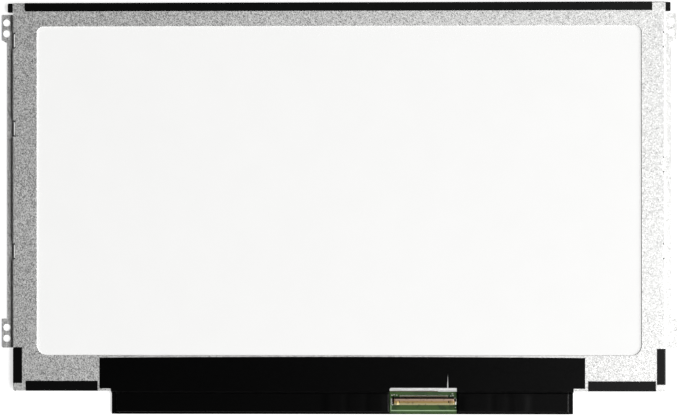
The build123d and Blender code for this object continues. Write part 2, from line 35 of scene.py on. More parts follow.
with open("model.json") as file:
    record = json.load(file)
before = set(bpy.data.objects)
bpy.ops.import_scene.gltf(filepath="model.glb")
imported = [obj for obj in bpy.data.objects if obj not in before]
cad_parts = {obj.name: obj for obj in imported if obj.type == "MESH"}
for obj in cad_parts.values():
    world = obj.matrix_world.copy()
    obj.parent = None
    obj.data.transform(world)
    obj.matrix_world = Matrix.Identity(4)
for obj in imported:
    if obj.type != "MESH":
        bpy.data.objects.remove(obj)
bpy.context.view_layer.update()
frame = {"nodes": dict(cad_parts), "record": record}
nodes = frame["nodes"]
scene = bpy.context.scene
mm = 0.001
print("frame loaded:", len(nodes), "nodes")


def linear(hexColour):
    channels = [int(hexColour[i:i + 2], 16) / 255 for i in (1, 3, 5)]
    return [c / 12.92 if c <= 0.04045 else ((c + 0.055) / 1.055) ** 2.4 for c in channels] + [1.0]


def perMetre(size):
    # pattern scale for a feature of that many millimetres
    return 1 / (size * mm)


def wavesPerMetre(pitch):
    # wave texture scale for lines that many millimetres apart: the texture turns 20 radians to a unit
    return perMetre(pitch) * 2 * math.pi / 20


def startMaterial(name, **sockets):
    material = bpy.data.materials.new(name)
    material.use_nodes = True
    shader = material.node_tree.nodes["Principled BSDF"]
    for socket, value in sockets.items():
        shader.inputs[socket.replace("_", " ")].default_value = value
    return material, shader


def addNode(material, kind, values=None, links=None, **settings):
    node = material.node_tree.nodes.new(kind)
    for name, value in settings.items():
        setattr(node, name, value)
    for socket, value in (values or {}).items():
        node.inputs[socket].default_value = value
    for socket, source in (links or {}).items():
        material.node_tree.links.new(source, node.inputs[socket])
    return node


def feed(material, shader, **sources):
    for socket, source in sources.items():
        material.node_tree.links.new(source, shader.inputs[socket.replace("_", " ")])


def smooth(share):
    share = max(0.0, min(1.0, share))
    return share * share * (3 - 2 * share)


# Skin-passed galvanised steel: a fine zinc spangle whose grains each lie turned a little, so that the satin
# grey breaks up into lighter and darker specks
steelLook = {
    "dark": "#dfdfde", "light": "#e3e3e2", "grain": 0.29, "wobble": 0.1, "tilt": 0.13, "fleck": 0.18,
    "fleckTilt": 0.07, "roughLow": 0.35, "roughHigh": 0.74,
}
steel, shader = startMaterial("galvanisedSteel", Metallic=1.0)
coords = addNode(steel, "ShaderNodeTexCoord")
wander = addNode(steel, "ShaderNodeTexNoise", {"Scale": perMetre(steelLook["grain"]), "Detail": 2},
                 {"Vector": coords.outputs["Object"]})
bent = addNode(steel, "ShaderNodeVectorMath", {1: [steelLook["wobble"] * mm] * 3},
               {0: wander.outputs["Color"], 2: coords.outputs["Object"]}, operation="MULTIPLY_ADD")
grain = addNode(steel, "ShaderNodeTexVoronoi", {"Scale": perMetre(steelLook["grain"])},
                {"Vector": bent.outputs[0]})
fleck = addNode(steel, "ShaderNodeTexNoise", {"Scale": perMetre(steelLook["fleck"]), "Detail": 1},
                {"Vector": coords.outputs["Object"]})
grainTone = addNode(steel, "ShaderNodeSeparateColor", links={"Color": grain.outputs["Color"]})
zinc = addNode(steel, "ShaderNodeMix", {6: linear(steelLook["dark"]), 7: linear(steelLook["light"])},
               {0: grainTone.outputs["Red"]}, data_type="RGBA")
polish = addNode(steel, "ShaderNodeMapRange",
                 {"To Min": steelLook["roughHigh"], "To Max": steelLook["roughLow"]},
                 {"Value": grainTone.outputs["Green"]})
facing = addNode(steel, "ShaderNodeNewGeometry")
grainLean = addNode(steel, "ShaderNodeVectorMath", {1: [0.5] * 3}, {0: grain.outputs["Color"]},
                    operation="SUBTRACT")
fleckLean = addNode(steel, "ShaderNodeVectorMath", {1: [0.5] * 3}, {0: fleck.outputs["Color"]},
                    operation="SUBTRACT")
turned = addNode(steel, "ShaderNodeVectorMath", {1: [steelLook["tilt"]] * 3},
                 {0: grainLean.outputs[0], 2: facing.outputs["Normal"]}, operation="MULTIPLY_ADD")
flecked = addNode(steel, "ShaderNodeVectorMath", {1: [steelLook["fleckTilt"]] * 3},
                  {0: fleckLean.outputs[0], 2: turned.outputs[0]}, operation="MULTIPLY_ADD")
facet = addNode(steel, "ShaderNodeVectorMath", links={0: flecked.outputs[0]}, operation="NORMALIZE")
feed(steel, shader, Base_Color=zinc.outputs[2], Roughness=polish.outputs[0], Normal=facet.outputs[0])

# Injection moulded black polycarbonate: deep grey-black, dull, with the fine grain of an eroded mould
mouldLook = {"dark": "#050505", "light": "#0b0b0c", "grain": 0.25, "relief": 0.01}
moulding, shader = startMaterial("mouldedPolycarbonate", Roughness=0.55)
shader.inputs["Specular IOR Level"].default_value = 0.12
coords = addNode(moulding, "ShaderNodeTexCoord")
grain = addNode(moulding, "ShaderNodeTexNoise", {"Scale": perMetre(mouldLook["grain"]), "Detail": 3},
                {"Vector": coords.outputs["Object"]})
tone = addNode(moulding, "ShaderNodeMix", {6: linear(mouldLook["dark"]), 7: linear(mouldLook["light"])},
               {0: grain.outputs["Fac"]}, data_type="RGBA")
skin = addNode(moulding, "ShaderNodeBump", {"Strength": 0.5, "Distance": mouldLook["relief"] * mm},
               {"Height": grain.outputs["Fac"]})
feed(moulding, shader, Base_Color=tone.outputs[2], Normal=skin.outputs[0])

# Black polyester tape: dyed film with a low satin sheen, slightly wavy where it was rubbed down by hand
tapeLook = {"dark": "#010101", "light": "#020202", "wave": 7.0, "pick": 0.6, "relief": 0.02,
            "roughLow": 0.32, "roughHigh": 0.4, "sheen": 0.235}
tape, shader = startMaterial("blackPolyesterTape")
shader.inputs["Specular IOR Level"].default_value = tapeLook["sheen"]
coords = addNode(tape, "ShaderNodeTexCoord")
wave = addNode(tape, "ShaderNodeTexNoise", {"Scale": perMetre(tapeLook["wave"]), "Detail": 2},
               {"Vector": coords.outputs["Object"]})
pick = addNode(tape, "ShaderNodeTexNoise", {"Scale": perMetre(tapeLook["pick"]), "Detail": 2},
               {"Vector": coords.outputs["Object"]})
tone = addNode(tape, "ShaderNodeMix", {6: linear(tapeLook["dark"]), 7: linear(tapeLook["light"])},
               {0: pick.outputs["Fac"]}, data_type="RGBA")
satin = addNode(tape, "ShaderNodeMapRange",
                {"To Min": tapeLook["roughLow"], "To Max": tapeLook["roughHigh"]},
                {"Value": pick.outputs["Fac"]})
skin = addNode(tape, "ShaderNodeBump", {"Strength": 0.5, "Distance": tapeLook["relief"] * mm},
               {"Height": wave.outputs["Fac"]})
feed(tape, shader, Base_Color=tone.outputs[2], Roughness=satin.outputs[0], Normal=skin.outputs[0])

# Matt insulating film over the board: the same black, with less sheen and a faint drag of the hand along it
coverLook = {"dark": "#000000", "light": "#010101", "drag": 9.0, "stretch": 0.4, "pick": 0.8, "relief": 0.02,
             "roughLow": 0.27, "roughHigh": 0.34, "sheen": 0.17}
coverFilm, shader = startMaterial("mattInsulatingFilm")
shader.inputs["Specular IOR Level"].default_value = coverLook["sheen"]
coords = addNode(coverFilm, "ShaderNodeTexCoord")
stretched = addNode(coverFilm, "ShaderNodeMapping", {"Scale": (coverLook["stretch"], 1, 1)},
                    {"Vector": coords.outputs["Object"]})
drag = addNode(coverFilm, "ShaderNodeTexNoise", {"Scale": perMetre(coverLook["drag"]), "Detail": 3},
               {"Vector": stretched.outputs[0]})
pick = addNode(coverFilm, "ShaderNodeTexNoise", {"Scale": perMetre(coverLook["pick"]), "Detail": 2},
               {"Vector": coords.outputs["Object"]})
tone = addNode(coverFilm, "ShaderNodeMix", {6: linear(coverLook["dark"]), 7: linear(coverLook["light"])},
               {0: drag.outputs["Fac"]}, data_type="RGBA")
satin = addNode(coverFilm, "ShaderNodeMapRange",
                {"To Min": coverLook["roughLow"], "To Max": coverLook["roughHigh"]},
                {"Value": pick.outputs["Fac"]})
skin = addNode(coverFilm, "ShaderNodeBump", {"Strength": 0.5, "Distance": coverLook["relief"] * mm},
               {"Height": drag.outputs["Fac"]})
feed(coverFilm, shader, Base_Color=tone.outputs[2], Roughness=satin.outputs[0], Normal=skin.outputs[0])

# White foamed polyester film: bright, even and chalky, with a soft cloudiness of the foam
reflectorLook = {"dark": "#f7f7f6", "light": "#fafaf9", "cloud": 14.0, "pore": 0.5, "relief": 0.004}
reflector, shader = startMaterial("foamedPolyesterFilm", Roughness=0.5)
shader.inputs["Specular IOR Level"].default_value = 0.25
coords = addNode(reflector, "ShaderNodeTexCoord")
cloud = addNode(reflector, "ShaderNodeTexNoise", {"Scale": perMetre(reflectorLook["cloud"]), "Detail": 3},
                {"Vector": coords.outputs["Object"]})
pore = addNode(reflector, "ShaderNodeTexNoise", {"Scale": perMetre(reflectorLook["pore"])},
               {"Vector": coords.outputs["Object"]})
tone = addNode(reflector, "ShaderNodeMix",
               {6: linear(reflectorLook["dark"]), 7: linear(reflectorLook["light"])},
               {0: cloud.outputs["Fac"]}, data_type="RGBA")
skin = addNode(reflector, "ShaderNodeBump", {"Strength": 0.3, "Distance": reflectorLook["relief"] * mm},
               {"Height": pore.outputs["Fac"]})
feed(reflector, shader, Base_Color=tone.outputs[2], Normal=skin.outputs[0])

# Optical films of beaded and prism-cut polyester: milky, half clear, with fine ribs along the width (drawn
# at 0.5 mm, coarser than the real 0.05 mm)
filmLook = {"dark": "#d9dde0", "light": "#eef0f1", "rib": 0.5, "relief": 0.01}
opticalFilm, shader = startMaterial("prismFilm", Roughness=0.35, IOR=1.58)
shader.inputs["Transmission Weight"].default_value = 0.45
coords = addNode(opticalFilm, "ShaderNodeTexCoord")
rib = addNode(opticalFilm, "ShaderNodeTexWave", {"Scale": wavesPerMetre(filmLook["rib"]), "Distortion": 0.2},
              {"Vector": coords.outputs["Object"]}, bands_direction="Y")
tone = addNode(opticalFilm, "ShaderNodeMix", {6: linear(filmLook["dark"]), 7: linear(filmLook["light"])},
               {0: rib.outputs["Fac"]}, data_type="RGBA")
skin = addNode(opticalFilm, "ShaderNodeBump", {"Strength": 0.3, "Distance": filmLook["relief"] * mm},
               {"Height": rib.outputs["Fac"]})
feed(opticalFilm, shader, Base_Color=tone.outputs[2], Normal=skin.outputs[0])

# Cast acrylic light guide: clear, with the white ink dots on its back that let the light out
guideLook = {"clear": "#e9f3f1", "dot": "#ffffff", "pitch": 1.6, "dotOuter": 0.32, "dotInner": 0.28,
             "roughLow": 0.04, "roughHigh": 0.6}
acrylic, shader = startMaterial("castAcrylic", IOR=1.49)
shader.inputs["Transmission Weight"].default_value = 0.8
coords = addNode(acrylic, "ShaderNodeTexCoord")
dots = addNode(acrylic, "ShaderNodeTexVoronoi", {"Scale": perMetre(guideLook["pitch"]), "Randomness": 0.15},
               {"Vector": coords.outputs["Object"]}, voronoi_dimensions="2D")
ink = addNode(acrylic, "ShaderNodeMapRange",
              {"From Min": guideLook["dotOuter"], "From Max": guideLook["dotInner"]},
              {"Value": dots.outputs["Distance"]})
tone = addNode(acrylic, "ShaderNodeMix", {6: linear(guideLook["clear"]), 7: linear(guideLook["dot"])},
               {0: ink.outputs[0]}, data_type="RGBA")
dull = addNode(acrylic, "ShaderNodeMapRange",
               {"To Min": guideLook["roughLow"], "To Max": guideLook["roughHigh"]}, {"Value": ink.outputs[0]})
feed(acrylic, shader, Base_Color=tone.outputs[2], Roughness=dull.outputs[0])

# Fusion drawn display glass: clear, with a faint uneven green and a little frost
glassLook = {"clear": "#c9d8d3", "ground": "#a9bdb5", "grind": 0.4, "roughLow": 0.05, "roughHigh": 0.2}
glass, shader = startMaterial("displayGlass", IOR=1.52)
shader.inputs["Transmission Weight"].default_value = 0.7
coords = addNode(glass, "ShaderNodeTexCoord")
grind = addNode(glass, "ShaderNodeTexNoise", {"Scale": perMetre(glassLook["grind"]), "Detail": 3},
                {"Vector": coords.outputs["Object"]})
tone = addNode(glass, "ShaderNodeMix", {6: linear(glassLook["clear"]), 7: linear(glassLook["ground"])},
               {0: grind.outputs["Fac"]}, data_type="RGBA")
frost = addNode(glass, "ShaderNodeMapRange",
                {"To Min": glassLook["roughLow"], "To Max": glassLook["roughHigh"]},
                {"Value": grind.outputs["Fac"]})
feed(glass, shader, Base_Color=tone.outputs[2], Roughness=frost.outputs[0])

# Anti-glare polariser: nearly black, with a sparkle from the haze beads in its coat (drawn ten times
# coarser than the real 0.03 mm, so that it shows)
polariserLook = {"dark": "#08090b", "light": "#101215", "bead": 0.3, "relief": 0.004,
                 "roughLow": 0.24, "roughHigh": 0.38}
polariser, shader = startMaterial("antiGlarePolariser", IOR=1.49)
shader.inputs["Specular IOR Level"].default_value = 0.4
coords = addNode(polariser, "ShaderNodeTexCoord")
bead = addNode(polariser, "ShaderNodeTexNoise", {"Scale": perMetre(polariserLook["bead"]), "Detail": 3},
               {"Vector": coords.outputs["Object"]})
tone = addNode(polariser, "ShaderNodeMix",
               {6: linear(polariserLook["dark"]), 7: linear(polariserLook["light"])},
               {0: bead.outputs["Fac"]}, data_type="RGBA")
haze = addNode(polariser, "ShaderNodeMapRange",
               {"To Min": polariserLook["roughLow"], "To Max": polariserLook["roughHigh"]},
               {"Value": bead.outputs["Fac"]})
skin = addNode(polariser, "ShaderNodeBump", {"Strength": 0.4, "Distance": polariserLook["relief"] * mm},
               {"Height": bead.outputs["Fac"]})
feed(polariser, shader, Base_Color=tone.outputs[2], Roughness=haze.outputs[0], Normal=skin.outputs[0])

# Black acrylic foam tape: soft, matt, with open pores
foamLook = {"dark": "#0b0b0b", "light": "#1f1f1f", "pore": 0.35, "relief": 0.03}
foam, shader = startMaterial("acrylicFoamTape", Roughness=0.85)
coords = addNode(foam, "ShaderNodeTexCoord")
pore = addNode(foam, "ShaderNodeTexVoronoi", {"Scale": perMetre(foamLook["pore"])},
               {"Vector": coords.outputs["Object"]})
tone = addNode(foam, "ShaderNodeMix", {6: linear(foamLook["dark"]), 7: linear(foamLook["light"])},
               {0: pore.outputs["Distance"]}, data_type="RGBA")
skin = addNode(foam, "ShaderNodeBump", {"Strength": 0.5, "Distance": foamLook["relief"] * mm},
               {"Height": pore.outputs["Distance"]})
feed(foam, shader, Base_Color=tone.outputs[2], Normal=skin.outputs[0])

# Glass-epoxy board under green solder mask: glossy green, deeper between the copper, a faint weave under
# the lacquer, and the straw-coloured laminate at the cut edge
boardLook = {"bare": "#2d4325", "copper": "#3b5429", "edge": "#5c6a48",
             "pour": 3.2, "pourFrom": 0.44, "pourTo": 0.52, "weave": 0.45, "relief": 0.006, "rough": 0.28}
board, shader = startMaterial("solderMaskBoard", Roughness=boardLook["rough"])
coords = addNode(board, "ShaderNodeTexCoord")
pour = addNode(board, "ShaderNodeTexNoise", {"Scale": perMetre(boardLook["pour"]), "Detail": 1},
               {"Vector": coords.outputs["Object"]})
poured = addNode(board, "ShaderNodeMapRange",
                 {"From Min": boardLook["pourFrom"], "From Max": boardLook["pourTo"]},
                 {"Value": pour.outputs["Fac"]})
weave = addNode(board, "ShaderNodeTexChecker", {"Scale": perMetre(boardLook["weave"])},
                {"Vector": coords.outputs["Object"]})
mask = addNode(board, "ShaderNodeMix", {6: linear(boardLook["bare"]), 7: linear(boardLook["copper"])},
               {0: poured.outputs[0]}, data_type="RGBA")
facing = addNode(board, "ShaderNodeNewGeometry")
facingParts = addNode(board, "ShaderNodeSeparateXYZ", links={0: facing.outputs["Normal"]})
upright = addNode(board, "ShaderNodeMath", links={0: facingParts.outputs["Z"]}, operation="ABSOLUTE")
cutEdge = addNode(board, "ShaderNodeMapRange", {"From Min": 0.6, "From Max": 0.4},
                  {"Value": upright.outputs[0]})
tone = addNode(board, "ShaderNodeMix", {7: linear(boardLook["edge"])},
               {0: cutEdge.outputs[0], 6: mask.outputs[2]}, data_type="RGBA")
skin = addNode(board, "ShaderNodeBump", {"Strength": 0.25, "Distance": boardLook["relief"] * mm},
               {"Height": weave.outputs["Fac"]})
feed(board, shader, Base_Color=tone.outputs[2], Normal=skin.outputs[0])

# Solder mask over copper: a shade lighter than the board on the thin tracks, and pale green on the wide
# guard line where the lacquer lies thinnest
trackLooks = {
    "maskedCopperTrack": {"dark": "#344b2d", "light": "#435d3a", "ripple": 0.5},
    "thinMaskGuard": {"dark": "#88a57c", "light": "#a6bf99", "ripple": 1.2},
}
trackFinishes = {}
for trackName, look in trackLooks.items():
    track, shader = startMaterial(trackName, Roughness=0.35)
    coords = addNode(track, "ShaderNodeTexCoord")
    ripple = addNode(track, "ShaderNodeTexNoise", {"Scale": perMetre(look["ripple"]), "Detail": 2},
                     {"Vector": coords.outputs["Object"]})
    tone = addNode(track, "ShaderNodeMix", {6: linear(look["dark"]), 7: linear(look["light"])},
                   {0: ripple.outputs["Fac"]}, data_type="RGBA")
    feed(track, shader, Base_Color=tone.outputs[2])
    trackFinishes[trackName] = track

# Polyimide driver film: amber, with the fine copper lines that run from the glass to the board (drawn at
# 0.4 mm, coarser than the real 0.06 mm)
amberLook = {"film": "#8a5420", "line": "#b5793a", "pitch": 0.4}
amber, shader = startMaterial("polyimideFilm", Roughness=0.3)
coords = addNode(amber, "ShaderNodeTexCoord")
lines = addNode(amber, "ShaderNodeTexWave", {"Scale": wavesPerMetre(amberLook["pitch"])},
                {"Vector": coords.outputs["Object"]}, bands_direction="X")
tone = addNode(amber, "ShaderNodeMix", {6: linear(amberLook["film"]), 7: linear(amberLook["line"])},
               {0: lines.outputs["Fac"]}, data_type="RGBA")
feed(amber, shader, Base_Color=tone.outputs[2])

# White ink cover layer of the light strip: milky white with copper shining through as faint bands
whiteFlexLook = {"ink": "#ecebe4", "band": "#dcd8c8", "pitch": 1.2}
whiteFlex, shader = startMaterial("whiteCoverLayer", Roughness=0.45)
coords = addNode(whiteFlex, "ShaderNodeTexCoord")
bands = addNode(whiteFlex, "ShaderNodeTexWave",
                {"Scale": wavesPerMetre(whiteFlexLook["pitch"]), "Distortion": 0.5},
                {"Vector": coords.outputs["Object"]}, bands_direction="Y")
tone = addNode(whiteFlex, "ShaderNodeMix", {6: linear(whiteFlexLook["ink"]), 7: linear(whiteFlexLook["band"])},
               {0: bands.outputs["Fac"]}, data_type="RGBA")
feed(whiteFlex, shader, Base_Color=tone.outputs[2])

# Transfer moulded epoxy: charcoal, dull, with the sandy grain of its silica filler
epoxyLook = {"dark": "#141415", "light": "#2a2a2b", "sand": 0.2, "relief": 0.01}
epoxy, shader = startMaterial("mouldedEpoxy", Roughness=0.6)
coords = addNode(epoxy, "ShaderNodeTexCoord")
sand = addNode(epoxy, "ShaderNodeTexNoise", {"Scale": perMetre(epoxyLook["sand"]), "Detail": 4},
               {"Vector": coords.outputs["Object"]})
tone = addNode(epoxy, "ShaderNodeMix", {6: linear(epoxyLook["dark"]), 7: linear(epoxyLook["light"])},
               {0: sand.outputs["Fac"]}, data_type="RGBA")
skin = addNode(epoxy, "ShaderNodeBump", {"Strength": 0.4, "Distance": epoxyLook["relief"] * mm},
               {"Height": sand.outputs["Fac"]})
feed(epoxy, shader, Base_Color=tone.outputs[2], Normal=skin.outputs[0])

# Fired barium titanate ceramic: tan, fine grained, faintly glossy
ceramicLook = {"dark": "#8a6a48", "light": "#b08e68", "fired": 0.15}
ceramic, shader = startMaterial("firedCeramic", Roughness=0.4)
coords = addNode(ceramic, "ShaderNodeTexCoord")
fired = addNode(ceramic, "ShaderNodeTexNoise", {"Scale": perMetre(ceramicLook["fired"]), "Detail": 3},
                {"Vector": coords.outputs["Object"]})
tone = addNode(ceramic, "ShaderNodeMix", {6: linear(ceramicLook["dark"]), 7: linear(ceramicLook["light"])},
               {0: fired.outputs["Fac"]}, data_type="RGBA")
feed(ceramic, shader, Base_Color=tone.outputs[2])

# Light package: white reflector cup resin with the yellow phosphor in its lens recess
packageLook = {"cup": "#efece2", "phosphor": "#e3c84a", "speck": 0.2}
package, shader = startMaterial("phosphorPackage", Roughness=0.45)
coords = addNode(package, "ShaderNodeTexCoord")
speck = addNode(package, "ShaderNodeTexNoise", {"Scale": perMetre(packageLook["speck"])},
                {"Vector": coords.outputs["Object"]})
facing = addNode(package, "ShaderNodeNewGeometry")
facingParts = addNode(package, "ShaderNodeSeparateXYZ", links={0: facing.outputs["Normal"]})
lens = addNode(package, "ShaderNodeMath", {1: 0.9}, {0: facingParts.outputs["Y"]}, operation="GREATER_THAN")
glow = addNode(package, "ShaderNodeMath", links={0: lens.outputs[0], 1: speck.outputs["Fac"]},
               operation="MULTIPLY")
tone = addNode(package, "ShaderNodeMix", {6: linear(packageLook["cup"]), 7: linear(packageLook["phosphor"])},
               {0: glow.outputs[0]}, data_type="RGBA")
feed(package, shader, Base_Color=tone.outputs[2])

# Liquid crystal polymer: dark brown heat-proof resin with flow marks along the moulding
resinLook = {"dark": "#070402", "light": "#110a05", "flow": 1.4, "relief": 0.006}
resin, shader = startMaterial("liquidCrystalPolymer", Roughness=0.5)
shader.inputs["Specular IOR Level"].default_value = 0.12
coords = addNode(resin, "ShaderNodeTexCoord")
flow = addNode(resin, "ShaderNodeTexNoise",
               {"Scale": perMetre(resinLook["flow"]), "Detail": 4, "Distortion": 0.6},
               {"Vector": coords.outputs["Object"]})
tone = addNode(resin, "ShaderNodeMix", {6: linear(resinLook["dark"]), 7: linear(resinLook["light"])},
               {0: flow.outputs["Fac"]}, data_type="RGBA")
skin = addNode(resin, "ShaderNodeBump", {"Strength": 0.3, "Distance": resinLook["relief"] * mm},
               {"Height": flow.outputs["Fac"]})
feed(resin, shader, Base_Color=tone.outputs[2], Normal=skin.outputs[0])

# Flash gold over a stamped copper alloy: pale warm metal with fine drawing lines from the die
goldLook = {"dark": "#a98550", "light": "#e2c48c", "line": 0.12, "roughLow": 0.24, "roughHigh": 0.42}
gold, shader = startMaterial("flashGold", Metallic=1.0)
coords = addNode(gold, "ShaderNodeTexCoord")
stretched = addNode(gold, "ShaderNodeMapping", {"Scale": (0.15, 1, 1)}, {"Vector": coords.outputs["Object"]})
drawn = addNode(gold, "ShaderNodeTexNoise", {"Scale": perMetre(goldLook["line"]), "Detail": 3},
                {"Vector": stretched.outputs[0]})
tone = addNode(gold, "ShaderNodeMix", {6: linear(goldLook["dark"]), 7: linear(goldLook["light"])},
               {0: drawn.outputs["Fac"]}, data_type="RGBA")
polish = addNode(gold, "ShaderNodeMapRange", {"To Min": goldLook["roughLow"], "To Max": goldLook["roughHigh"]},
                 {"Value": drawn.outputs["Fac"]})
feed(gold, shader, Base_Color=tone.outputs[2], Roughness=polish.outputs[0])

# Gold plate on the connector's shell, thin over the copper alloy: pink at the rear where the copper shows, and
# there also a painted highlight along the shell's rounded, sloping rear edge, then tan, then pale straw on the
# front lip, mottled by wear
shellLook = {"rearY": -78.3, "frontY": -80.8, "mottle": 1.3, "stray": 0.22, "line": 0.12, "roughLow": 0.42,
             "roughHigh": 0.58, "worn": "#6b4d3a", "wearFrom": 0.56, "wearTo": 0.72, "wearMost": 0.6,
             "bands": [(0.0, "#b49c8a"), (0.3, "#ab917c"), (0.44, "#9e8350"), (0.62, "#a5905c"),
                       (0.76, "#b3ab84")]}
shellGold, shader = startMaterial("thinGoldPlate", Metallic=1.0)
coords = addNode(shellGold, "ShaderNodeTexCoord")
parts = addNode(shellGold, "ShaderNodeSeparateXYZ", links={0: coords.outputs["Object"]})
depth = addNode(shellGold, "ShaderNodeMapRange",
                {"From Min": shellLook["rearY"] * mm, "From Max": shellLook["frontY"] * mm},
                {"Value": parts.outputs["Y"]})
mottle = addNode(shellGold, "ShaderNodeTexNoise", {"Scale": perMetre(shellLook["mottle"]), "Detail": 3},
                 {"Vector": coords.outputs["Object"]})
stray = addNode(shellGold, "ShaderNodeMath", {1: shellLook["stray"]},
                {0: mottle.outputs["Fac"], 2: depth.outputs[0]}, operation="MULTIPLY_ADD")
# the rear stops of this ramp are partly a painted highlight of the shell's rounded rear edge
bands = addNode(shellGold, "ShaderNodeValToRGB", links={"Fac": stray.outputs[0]})
for band in shellLook["bands"]:
    stop = bands.color_ramp.elements.new(min(1.0, band[0] + shellLook["stray"] / 2))
    stop.color = linear(band[1])
bands.color_ramp.elements[0].color = linear(shellLook["bands"][0][1])
bands.color_ramp.elements[-1].color = linear(shellLook["bands"][-1][1])
wear = addNode(shellGold, "ShaderNodeMapRange",
               {"From Min": shellLook["wearFrom"], "From Max": shellLook["wearTo"],
                "To Max": shellLook["wearMost"]},
               {"Value": mottle.outputs["Fac"]})
tone = addNode(shellGold, "ShaderNodeMix", {7: linear(shellLook["worn"])},
               {0: wear.outputs[0], 6: bands.outputs["Color"]}, data_type="RGBA")
stretched = addNode(shellGold, "ShaderNodeMapping", {"Scale": (0.15, 1, 1)},
                    {"Vector": coords.outputs["Object"]})
drawn = addNode(shellGold, "ShaderNodeTexNoise", {"Scale": perMetre(shellLook["line"]), "Detail": 3},
                {"Vector": stretched.outputs[0]})
polish = addNode(shellGold, "ShaderNodeMapRange",
                 {"To Min": shellLook["roughLow"], "To Max": shellLook["roughHigh"]},
                 {"Value": drawn.outputs["Fac"]})
feed(shellGold, shader, Base_Color=tone.outputs[2], Roughness=polish.outputs[0])

# Reflowed tin solder: bright grey, slightly frosted by its crystals
solderLook = {"dark": "#a9aaa6", "light": "#e6e6e0", "crystal": 0.12, "roughLow": 0.35, "roughHigh": 0.6}
solder, shader = startMaterial("tinSolder", Metallic=1.0)
coords = addNode(solder, "ShaderNodeTexCoord")
crystal = addNode(solder, "ShaderNodeTexVoronoi", {"Scale": perMetre(solderLook["crystal"])},
                  {"Vector": coords.outputs["Object"]})
tone = addNode(solder, "ShaderNodeMix", {6: linear(solderLook["dark"]), 7: linear(solderLook["light"])},
               {0: crystal.outputs["Distance"]}, data_type="RGBA")
frost = addNode(solder, "ShaderNodeMapRange",
                {"To Min": solderLook["roughLow"], "To Max": solderLook["roughHigh"]},
                {"Value": crystal.outputs["Distance"]})
feed(solder, shader, Base_Color=tone.outputs[2], Roughness=frost.outputs[0])

finishes = {
    "galvanised_steel": steel, "black_moulding": moulding, "white_reflector": reflector,
    "optical_film": opticalFilm, "acrylic": acrylic, "panel_glass": glass, "polariser_film": polariser,
    "bonding_tape": foam, "black_tape": tape, "circuit_board": board, "amber_flex": amber,
    "white_flex": whiteFlex, "chip_epoxy": epoxy, "chip_ceramic": ceramic, "light_package": package,
    "connector_resin": resin, "gold_plate": gold,
}
for row in frame["record"]["subparts"]:
    mesh = nodes[row["node"]].data
    mesh.materials.clear()
    mesh.materials.append(shellGold if row["node"] == "connector_shell" else finishes[row["material_slot"]])


def addPiece(name, shape, material, replaced=()):
    mesh = bpy.data.meshes.new(name)
    shape.to_mesh(mesh)
    shape.free()
    mesh.materials.append(material)
    piece = bpy.data.objects.new(name, mesh)
    scene.collection.objects.link(piece)
    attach(piece, "root")
    if replaced:
        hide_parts(*replaced)
    return piece


def addBlock(shape, middle, size):
    # a plain block about a middle point, in millimetres
    place = Matrix.Translation(Vector(middle) * mm) @ Matrix.Diagonal((*(Vector(size) * mm), 1))
    bmesh.ops.create_cube(shape, size=1, matrix=place)


def roundEdges(shape, width, segments=2):
    bmesh.ops.bevel(shape, geom=shape.edges[:], offset=width * mm, affect="EDGES", segments=segments,
                    profile=0.5, material=-1)


# Cover tape: one film, flat on the steel, then down over the parts to the rim of the board
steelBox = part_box("rear_frame")
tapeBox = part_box("board_cover_tape")
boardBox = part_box("control_board")
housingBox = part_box("connector_housing")
cover = {
    "thickness": 0.08, "bow": 0.4, "bowSteps": 24, "wing": 4.7, "stepRise": 1.05, "slope": 1.4,
    "shelf": 2.48, "sag": 0.14, "heldRim": 0.5, "reach": 2.6, "corner": 0.35,
    "lipBottom": 0.8, "lipSide": 1.9, "lipCut": 0.45, "lipSlope": 0.28,
    "cutShift": -0.275, "cutPlay": 1.525, "cutRise": 1.35, "cutTopPlay": 0.15, "cutTopHeight": 1.7,
    "cutNeck": 0.8, "cutOver": 1.0,
    "slitOffset": 9.75, "slitWidth": 0.5, "slitLength": 6.1,
    "rimZone": 3.2, "cutZone": 1.4, "fineStep": 0.14, "wideStep": 1.2,
    "rows": [(-60.9, -74.6, 12), (-74.6, -77.2, 14), (-77.2, -82.9, 14), (-82.9, -84.65, 12)],
}


def crosses(point, outline):
    # whether a point is inside a closed outline
    odd = False
    for (ax, ay), (bx, by) in zip(outline, outline[1:] + outline[:1]):
        if (ay > point.y) != (by > point.y) and point.x < (bx - ax) * (point.y - ay) / (by - ay) + ax:
            odd = not odd
    return odd


def cutOutline(shape, outline, keepInside):
    # slices the faces along a closed outline and drops those on the other side of it
    for (ax, ay), (bx, by) in zip(outline, outline[1:] + outline[:1]):
        start, end = Vector((ax, ay, 0)), Vector((bx, by, 0))
        run = end - start
        margin = 2 * mm
        near = []
        for face in shape.faces:
            middle = face.calc_center_median()
            along = max(0, min(1, (middle - start).dot(run) / run.length_squared))
            if (start + run * along - middle).xy.length < margin:
                near.append(face)
        edges = {edge for face in near for edge in face.edges}
        verts = {vert for face in near for vert in face.verts}
        bmesh.ops.bisect_plane(shape, geom=[*near, *edges, *verts], dist=1e-7, plane_co=start,
                               plane_no=(run.y, -run.x, 0))
    doomed = [face for face in shape.faces if crosses(face.calc_center_median(), outline) != keepInside]
    bmesh.ops.delete(shape, geom=doomed, context="FACES")


def arcPoints(centre, radius, first, last, count):
    angles = [math.radians(first + (last - first) * i / count) for i in range(count + 1)]
    return [(centre[0] + radius * math.cos(a), centre[1] + radius * math.sin(a)) for a in angles]


